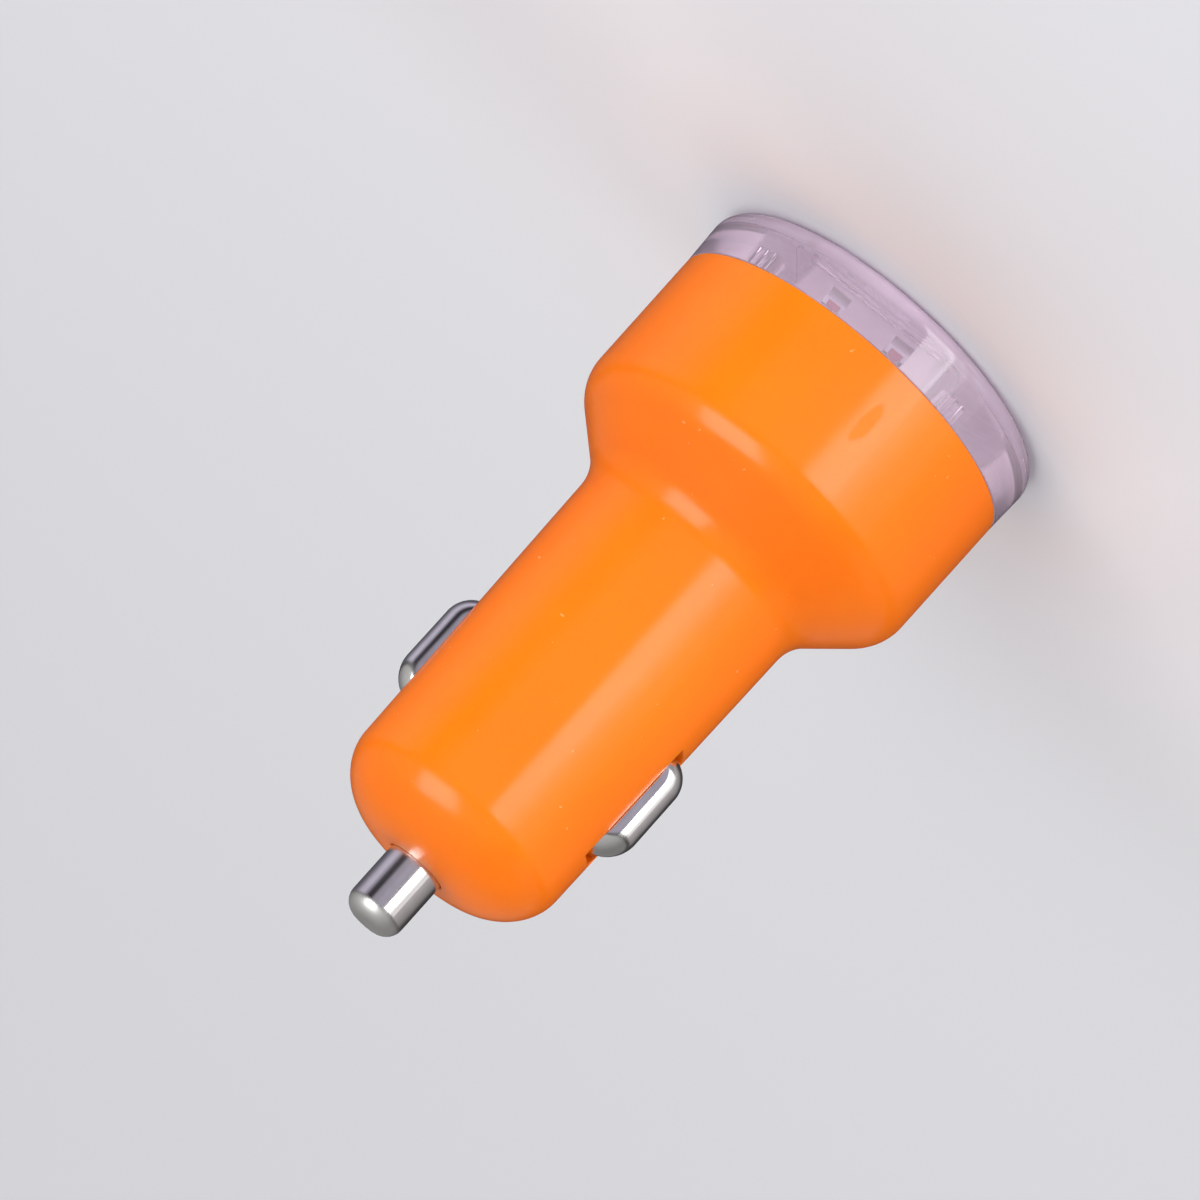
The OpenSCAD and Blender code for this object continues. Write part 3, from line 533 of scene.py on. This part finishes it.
lug_proud, lug_half, lug_from, lug_to, lug_taper = 0.3, 1.6, 7.6, 8.6, 0.2
gusset_l, gusset_half, gusset_from, gusset_pitch = 1.0, 0.2, 2.9, 0.8
for lug_angle, gusset_angle in np.radians([(58, 49), (122, 131), (238, 229), (302, 311)]):
    cap_grids.append(slab(skirt_r - 0.1, skirt_r + lug_proud, -lug_half, lug_half, lug_from, lug_to,
                          lug_angle, lug_taper))
    cap_grids += [slab(skirt_in_r - gusset_l, skirt_in_r + 0.3, y - gusset_half, y + gusset_half,
                       gusset_from, skirt_end - 1, gusset_angle) for y in (-gusset_pitch, 0, gusset_pitch)]


def place(made, axis):
    """One of a piece's own coordinates, in metres."""
    split = node(made, "SeparateXYZ", Vector=node(made, "TexCoord").outputs["Object"])
    return split.outputs["XYZ".index(axis)]


# The outer skin is milky, more so towards the face; the inner faces are clear
milky = principled("milky_plastic", Base_Color=(0.86, 0.68, 0.83), Roughness=0.05, IOR=1.55,
                   Transmission_Weight=0.7)
level = node(milky, "Mapping", Vector=node(milky, "TexCoord").outputs["Object"], Scale=(1, 1, 0))
from_axis = maths(milky, "LENGTH", level.outputs[0], kind="VectorMath")
height = place(milky, "Z")
skin = maths(milky, "MAXIMUM", mapped(milky, from_axis, 0.01475, 0.01495),
             mapped(milky, height, 0.0002, 0.0003, 1.0, 0.0))
milk = mapped(milky, height, 0.0006, 0.0024, 0.40, 0.24)
wire(milky, maths(milky, "SUBTRACT", 1.0, maths(milky, "MULTIPLY", skin, milk)), "Transmission Weight")
cloud = ramp(milky, noise(milky, 120, 3), (0.3, (0.84, 0.66, 0.81)), (0.7, (0.89, 0.71, 0.86)))
wire(milky, over(milky, skin, (0.95, 0.90, 0.94), cloud), "Base Color")
wire(milky, ramp(milky, noise(milky, 300, 3), (0.3, 0.03), (0.7, 0.07)), "Roughness")
bump(milky, noise(milky, 500, 2), 0.00002, 0.04)
cap = piece("end_cap_milky", cap_grids, milky, sharp=40)
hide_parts("end_cap")
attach(cap, "root")


# Centre pin: turned steel, nickel plated, with a blunt rounded tip, a flange that rests behind the
# nose's wall and a hollow tail for its spring. It slides in the nose.
pin_r, pin_proud, tip_round = 2.56, 6.13, 1.55
tip_z = end_z + pin_proud
flange_r, flange_z = 3.7, ceiling_z - 1.2
tail_r, tail_z = pin_r - 0.1, ceiling_z - 3.8
spring_hole_r, spring_top = 1.76, end_z + 1.3
nickel = principled("nickel_plate", Base_Color=(0.80, 0.785, 0.76), Metallic=1.0, Roughness=0.14)
tip = mapped(nickel, place(nickel, "Z"), (tip_z - 1.6) * MM, (tip_z - 1.0) * MM)
drawn = ramp(nickel, noise(nickel, 900, 3, (1, 1, 0.08)), (0.3, 0.09), (0.8, 0.24))
wire(nickel, over(nickel, tip, drawn, (0.42, 0.42, 0.42)), "Roughness")
plating = ramp(nickel, noise(nickel, 350, 4), (0.35, (0.74, 0.725, 0.70)), (0.65, (0.83, 0.82, 0.80)))
wire(nickel, plating, "Base Color")
bump(nickel, noise(nickel, 1600, 3, (1, 1, 0.2)), 0.00001, 0.4)
pin = piece("pin_nickel", [(turned(bent([
    (0, tip_z, 0), (pin_r, tip_z, tip_round), (pin_r, ceiling_z, 0.1), (flange_r, ceiling_z, 0.2),
    (flange_r, flange_z, 0.2), (tail_r, flange_z, 0.1), (tail_r, tail_z, 0.15), (spring_hole_r, tail_z, 0.1),
    (spring_hole_r, spring_top, 0.2), (0, spring_top, 0)], 14), around[::2]), True)], nickel, sharp=50)
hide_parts("center_pin")
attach(pin, "pin")


# Side contacts: nickel plated spring sheet, pressed. A crowned bridge with rounded long edges stands
# out of each slot; a run goes down the wall to a forked foot on the board, and a lip holds the other end.
clip_half, clip_t, clip_edge = 1.75, 0.4, 1.68
clip_slope = math.radians(75)
slope_run, half_slope = 1 / math.tan(clip_slope), math.tan(clip_slope / 2)
head_bend, nose_bend, foot_bend = 2.6, 3.0, 0.8
crown_proud, bridge_deep, run_gap, lip_gap, nose_play = 1.7, 0.5, 0.65, 0.35, 0.47
foot_drop, fork_reach, fork_l, lip_l = 8.1, 3.2, 1.75, 1.8
slot_mid = (slot_top + slot_bottom) / 2
crown_x = barrel_out(slot_mid) + crown_proud
bridge_x = barrel_out(slot_mid) - bridge_deep
run_x = barrel_out(slot_bottom) - wall - run_gap
lip_x = barrel_out(slot_top) - wall - lip_gap
head_corner = slot_bottom + (crown_x - run_x) * slope_run
nose_corner = slot_top - nose_play - (crown_x - lip_x) * slope_run
foot_z = slot_bottom - foot_drop
fork_x = run_x - clip_t - fork_reach
strip_half, prong_half, prong_y = 1.5, 0.37, 1.13


def bridge_grid(d):
    """The bridge's surface moved in by d. Its side view is a bent path; towards each long edge it
    shrinks by r (1 - sin t) while the edge goes out by r cos t, and flat flanks close it to its base."""
    h, r = clip_half - d, clip_edge - d
    turn = np.linspace(0, math.pi / 2, 9)
    inset = d + np.concatenate([r * (1 - np.sin(turn)), r * (1 - np.sin(turn[::-1]))])
    y = np.concatenate([-(h - r) - r * np.cos(turn), (h - r) + r * np.cos(turn[::-1])])

    def side_view(e):
        """Path of the bridge seen from the side, moved in by e."""
        reach = (crown_x - bridge_x) * slope_run - e / math.sin(clip_slope)
        corner = e * half_slope
        return bent([(bridge_x, head_corner - reach, 0),
                     (crown_x - e, head_corner + corner, head_bend - e),
                     (crown_x - e, nose_corner - corner, nose_bend - e),
                     (bridge_x, nose_corner + reach, 0)], 16)
    path = np.stack([side_view(e) for e in inset])
    grid = np.stack([path[..., 0], np.broadcast_to(y[:, None], path.shape[:2]), path[..., 1]], -1)
    base = grid[[0, -1]].copy()
    base[..., 0] = bridge_x
    steps = np.linspace(0, 1, 4)[:-1, None, None]
    return np.concatenate([base[:1] * (1 - steps) + grid[:1] * steps, grid,
                           (base[-1:] * (1 - steps) + grid[-1:] * steps)[::-1]])


def closed(grid):
    """A tube's grid with each end drawn together to its middle."""
    ends = [np.broadcast_to(g.mean(0), g.shape) for g in (grid[0], grid[-1])]
    return np.concatenate([ends[0][None], grid, ends[1][None]]), True


def bar_along(path, half_width, thickness, y0=0.0):
    """Sheet swept along an open path (x, z): its section is a thin box with rounded edges, to the left."""
    run = np.gradient(path, axis=0)
    run /= np.hypot(*run.T)[:, None]
    left = np.stack([-run[:, 1], run[:, 0]], 1)
    e = thickness * 0.3
    section = bent([(0, 0, 0), (half_width, 0, e), (half_width, thickness, e), (-half_width, thickness, e),
                    (-half_width, 0, e), (0, 0, 0)], 3)[:-1]
    y, q = section.T
    x = path[:, None, 0] + left[:, None, 0] * q
    z = path[:, None, 1] + left[:, None, 1] * q
    return closed(np.stack([x, np.broadcast_to(y + y0, x.shape), z], -1))


# The run and the lip meet the bridge's slopes from below, tucked in by a hair
outer, inner = bridge_grid(0), bridge_grid(clip_t)
hair = 0.02
sheet_t, tuck = clip_t - hair, hair / math.sin(clip_slope)
meet_x, foot_middle = bridge_x + 0.1, foot_z - clip_t / 2
run_path = bent([(fork_x + fork_l, foot_middle, 0), (run_x, foot_middle, foot_bend),
                 (run_x, head_corner - (crown_x - run_x) * slope_run + tuck, foot_bend),
                 (meet_x, head_corner - (crown_x - meet_x) * slope_run + tuck, 0)], 12)
lip_corner = nose_corner + (crown_x - lip_x) * slope_run - tuck
lip_path = bent([(meet_x, nose_corner + (crown_x - meet_x) * slope_run - tuck, 0),
                 (lip_x, lip_corner, foot_bend), (lip_x, lip_corner + lip_l, 0)], 12)
fork_path = np.array([[fork_x, foot_middle], [fork_x + fork_l, foot_middle]])
contact_grids = [
    (outer, False), (inner, False),
    (np.stack([outer[0], inner[0]]), False), (np.stack([outer[-1], inner[-1]]), False),
    (np.stack([outer[:, 0], inner[:, 0]]), False), (np.stack([outer[:, -1], inner[:, -1]]), False),
    bar_along(run_path, strip_half, sheet_t), bar_along(lip_path, strip_half, sheet_t),
    bar_along(fork_path, prong_half, sheet_t, prong_y), bar_along(fork_path, prong_half, sheet_t, -prong_y)]
pressed = principled("pressed_nickel", Base_Color=(0.80, 0.785, 0.76), Metallic=1.0, Roughness=0.16)
wire(pressed, ramp(pressed, noise(pressed, 700, 4, (1, 1, 0.15)), (0.3, 0.10), (0.8, 0.27)), "Roughness")
wire(pressed, ramp(pressed, noise(pressed, 500, 5), (0.35, (0.72, 0.705, 0.69)), (0.65, (0.83, 0.82, 0.80))),
     "Base Color")
bump(pressed, noise(pressed, 900, 4, (1, 1, 0.3)), 0.00002, 0.35)
for name, way in (("right", 1), ("left", -1)):
    grids = [(grid * [way, way, 1], closes) for grid, closes in contact_grids]
    contact = piece("contact_sheet_" + name, grids, pressed, sharp=50)
    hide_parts("contact_" + name)
    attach(contact, name + "_contact")


# Pin's spring and its cup: a coil of drawn spring steel stands in a turned brass cup that is soldered
# to the board's end, and shortens between the cup and the pin as the pin slides in.
def dress(made, *names):
    """Gives CAD nodes their finish."""
    for name in names:
        for material_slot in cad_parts[name].material_slots:
            material_slot.material = made


def metal(name, dark, light, roughness, grain=900, stretch=(1, 1, 1)):
    """Bare or plated metal: colour and gloss that vary with a fine grain."""
    made = principled(name, Base_Color=light, Metallic=1.0, Roughness=roughness)
    wire(made, ramp(made, noise(made, grain * 0.4, 4), (0.35, dark), (0.65, light)), "Base Color")
    dull = ramp(made, noise(made, grain, 3, stretch), (0.3, roughness * 0.75), (0.75, roughness * 1.4))
    wire(made, dull, "Roughness")
    bump(made, noise(made, grain * 1.8, 3, stretch), 0.00001, 0.35)
    return made


wire_r, coil_turns, pin_travel = 0.2, 11, 2.5
coil_r = spring_hole_r - 0.2 - wire_r
coil_low, coil_high = (corner.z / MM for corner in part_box("pin_spring"))


def coil():
    """Wire swept along a helix, with its first and last turn closed: ((R + r cos b) cos a, (R + r cos b)
    sin a, rise + r sin b), where a is the turn and b goes round the wire."""
    t = np.linspace(0, coil_turns, coil_turns * 32 + 1)
    low, high, dead = coil_low + wire_r, coil_high - wire_r, 2.16 * wire_r
    rise = np.interp(t, [0, 1, coil_turns - 1, coil_turns], [low, low + dead, high - dead, high])
    b = np.arange(12) * 2 * math.pi / 12
    r, a = coil_r + wire_r * np.cos(b), 2 * math.pi * t[:, None]
    return closed(np.stack([r * np.cos(a), r * np.sin(a), rise[:, None] + wire_r * np.sin(b)], -1))


spring_steel = metal("spring_steel", (0.44, 0.44, 0.45), (0.60, 0.60, 0.61), 0.28, 1600)
spring = piece("pin_spring_coil", [coil()], spring_steel, sharp=60)
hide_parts("pin_spring")
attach(spring, "root")
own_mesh(spring)
dress(metal("cup_brass", (0.62, 0.44, 0.18), (0.82, 0.63, 0.30), 0.27, 1100, (1, 1, 4)), "spring_cup")


# Circuit boards: glass laminate with a green solder mask. Wide copper tracks show as a lighter green,
# and round tinned holes stand among them. The main board is soldered upright to the round port board.
def laminate(name, across):
    """Solder mask over brick-like tracks, with round tinned holes, in the board's own plane."""
    made = principled(name, Base_Color=(0.015, 0.13, 0.045), Roughness=0.32, Coat_Weight=0.3,
                      Coat_Roughness=0.12)
    plane = node(made, "CombineXYZ", X=place(made, across[0]), Y=place(made, across[1])).outputs[0]
    tracks = node(made, "TexBrick", Vector=plane, Scale=260.0, Color1=(0, 0, 0, 1), Color2=(0, 0, 0, 1),
                  Mortar=(1, 1, 1, 1), Mortar_Size=0.11, Mortar_Smooth=0.1, Brick_Width=1.3, Row_Height=0.7)
    mask = ramp(made, noise(made, 140, 3), (0.3, (0.010, 0.105, 0.035)), (0.7, (0.018, 0.145, 0.05)))
    green = over(made, tracks.outputs["Color"], mask, (0.035, 0.25, 0.075))
    holes = node(made, "TexVoronoi", Vector=plane, Scale=520.0, Randomness=0.35)
    vias = ramp(made, holes.outputs["Distance"], (0.10, 1.0), (0.13, 0.0))
    wire(made, over(made, vias, green, (0.70, 0.70, 0.68)), "Base Color")
    wire(made, vias, "Metallic")
    bump(made, tracks.outputs["Color"], 0.00004, 0.6)
    return made


dress(laminate("main_laminate", "XZ"), "main_board")
dress(laminate("port_laminate", "XY"), "port_board")


# Charging sockets: each is a folded shell of plated steel with spring fingers in windows, round a black
# moulded tongue that holds four gilded contacts. The fingers carry painted shade, so that the windows look
# dark, and each finger's tip carries a red spot of painted reflection from the indicator lamps, which
# shows through the cap.
def moulding(name, dark, light, roughness, grain=1500, depth=0.00002):
    """Moulded resin or ceramic: slight mottling and a fine grain."""
    made = principled(name, Base_Color=light, Roughness=roughness)
    wire(made, ramp(made, noise(made, grain * 0.25, 3), (0.3, dark), (0.7, light)), "Base Color")
    dull = ramp(made, noise(made, grain * 0.5, 2), (0.3, roughness * 0.8), (0.7, roughness * 1.25))
    wire(made, dull, "Roughness")
    bump(made, noise(made, grain, 3), depth, 0.5)
    return made


def band(made, value, middle, half_width, soft=0.00002):
    """1 where a coordinate lies within half_width of the middle, 0 outside."""
    away = maths(made, "ABSOLUTE", maths(made, "SUBTRACT", value, middle))
    return mapped(made, away, half_width - soft, half_width + soft, 1.0, 0.0)


def colour_of(made):
    """What feeds a material's colour so far."""
    return made.node_tree.nodes["Principled BSDF"].inputs["Base Color"].links[0].from_socket


window_x, finger_half, finger_middle_z, finger_half_l = 0.0031, 0.0009, 0.0046, 0.0029
reflection_z, reflection_r = 0.0027, 0.00062
shell = metal("shell_steel", (0.86, 0.86, 0.88), (0.94, 0.94, 0.96), 0.45, 700, (1, 1, 0.1))
beside = maths(shell, "ABSOLUTE", place(shell, "X"))
finger = maths(shell, "MULTIPLY", band(shell, beside, window_x, finger_half),
               band(shell, place(shell, "Z"), finger_middle_z, finger_half_l))
# Painted reflection: a red spot on each finger's tip, not metallic, stands in for the red indicator lamps'
# reflection
spot = node(shell, "CombineXYZ", X=beside, Y=place(shell, "Z")).outputs[0]
from_reflection = maths(shell, "DISTANCE", spot, (window_x, reflection_z, 0), kind="VectorMath")
red_reflection = mapped(shell, from_reflection, reflection_r * 0.8, reflection_r, 1.0, 0.0)
# Painted shade: the fingers are darkened to show the shade inside the shell's windows
window_shade = over(shell, finger, colour_of(shell), (0.42, 0.40, 0.46))
wire(shell, over(shell, red_reflection, window_shade, (0.75, 0.03, 0.10)), "Base Color")
wire(shell, mapped(shell, red_reflection, 0.0, 1.0, 1.0, 0.0), "Metallic")
dress(shell, "socket_shell_a", "socket_shell_b")
dress(moulding("socket_black", (0.010, 0.010, 0.011), (0.020, 0.020, 0.022), 0.38),
      "socket_insulator_a", "socket_insulator_b")
dress(metal("contact_gold", (0.80, 0.56, 0.20), (0.93, 0.71, 0.33), 0.2, 1400, (1, 1, 0.3)),
      "socket_contacts_a", "socket_contacts_b")


# Inductor: a drum core of pressed ferrite, wound with enamelled copper wire. It stands on the main
# board.
dress(moulding("ferrite", (0.030, 0.030, 0.033), (0.060, 0.060, 0.065), 0.55, 2600, 0.00004), "inductor_core")
copper = metal("enamel_copper", (0.50, 0.16, 0.06), (0.68, 0.27, 0.11), 0.24, 900, (1, 6, 1))
copper.node_tree.nodes["Principled BSDF"].inputs["Coat Weight"].default_value = 0.6
dress(copper, "inductor_winding")


# Capacitors: electrolytic cans in a dark sleeve with a pale stripe on the minus side and a bare
# aluminium top, which carries a pressed cross as a vent. Their tinned leads bend through the board.
stripe_x, stripe_half = 0.0026, 0.0006
cross_y, groove_half = 0.00385, 0.00016


def can_finish(name, top_z):
    """Sleeve and stripe below, bare metal within 0.22 mm of the top, and the cross pressed into that."""
    made = principled(name, Base_Color=(0.02, 0.022, 0.06), Roughness=0.3, Coat_Weight=0.2)
    sleeve = ramp(made, noise(made, 200, 3), (0.3, (0.012, 0.014, 0.045)), (0.7, (0.022, 0.025, 0.07)))
    stripe = band(made, place(made, "X"), stripe_x, stripe_half)
    sleeved = over(made, stripe, sleeve, (0.45, 0.46, 0.50))
    bare = band(made, place(made, "Z"), top_z, 0.00022)
    wire(made, over(made, bare, sleeved, (0.78, 0.78, 0.79)), "Base Color")
    wire(made, bare, "Metallic")
    cross = maths(made, "MAXIMUM", band(made, place(made, "X"), 0.0, groove_half),
                  band(made, place(made, "Y"), cross_y, groove_half))
    bump(made, maths(made, "MULTIPLY", cross, bare), 0.0001, 0.8, invert=True)
    return made


for name in ("input_capacitor", "output_capacitor"):
    dress(can_finish(name + "_sleeve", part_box(name)[1].z), name)
tinned = metal("tinned_wire", (0.62, 0.62, 0.63), (0.78, 0.78, 0.79), 0.25, 1500)
dress(tinned, "capacitor_leads", "chip_legs")


# Chip, diode, fuse, resistors and chip capacitors: black moulded bodies, and small ceramic parts with a
# tinned cap at each end, soldered to the board.
dress(moulding("chip_mould", (0.014, 0.014, 0.015), (0.028, 0.028, 0.030), 0.5, 3000, 0.00003),
      "converter_chip", "diode")


def ceramic(name, dark, light, middles, half_body, roughness=0.4):
    """Ceramic body whose tinned ends lie more than half_body from the middle of each part along Z."""
    made = moulding(name, dark, light, roughness, 2200)
    body = 0.0
    for z in middles:
        body = maths(made, "MAXIMUM", band(made, place(made, "Z"), z, half_body), body)
    wire(made, over(made, body, (0.76, 0.76, 0.77), colour_of(made)), "Base Color")
    wire(made, maths(made, "SUBTRACT", 1.0, body), "Metallic")
    return made


def middle_z(name):
    """Height of the middle of a CAD node."""
    low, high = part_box(name)
    return (low.z + high.z) / 2


low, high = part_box("chip_resistors")
resistor_half, chip_body_half, fuse_body_half = 0.001, 0.0007, 0.0011
dress(ceramic("fuse_ceramic", (0.74, 0.73, 0.68), (0.86, 0.85, 0.80), [middle_z("input_fuse")],
              fuse_body_half), "input_fuse")
dress(ceramic("resistor_ceramic", (0.012, 0.012, 0.014), (0.030, 0.030, 0.033),
              [low.z + resistor_half, high.z - resistor_half], chip_body_half), "chip_resistors")
dress(ceramic("capacitor_ceramic", (0.44, 0.29, 0.15), (0.56, 0.39, 0.22), [middle_z("chip_capacitors")],
              chip_body_half), "chip_capacitors")


# Indicator lights: two small lamps of clear red resin on the port board. They show through the milky
# cap.
red = principled("lamp_red", Base_Color=(0.85, 0.04, 0.05), Roughness=0.15, Transmission_Weight=0.4, IOR=1.5)
wire(red, ramp(red, noise(red, 600, 2), (0.3, (0.75, 0.03, 0.04)), (0.7, (0.92, 0.06, 0.07))), "Base Color")
dress(red, "indicator_leds")
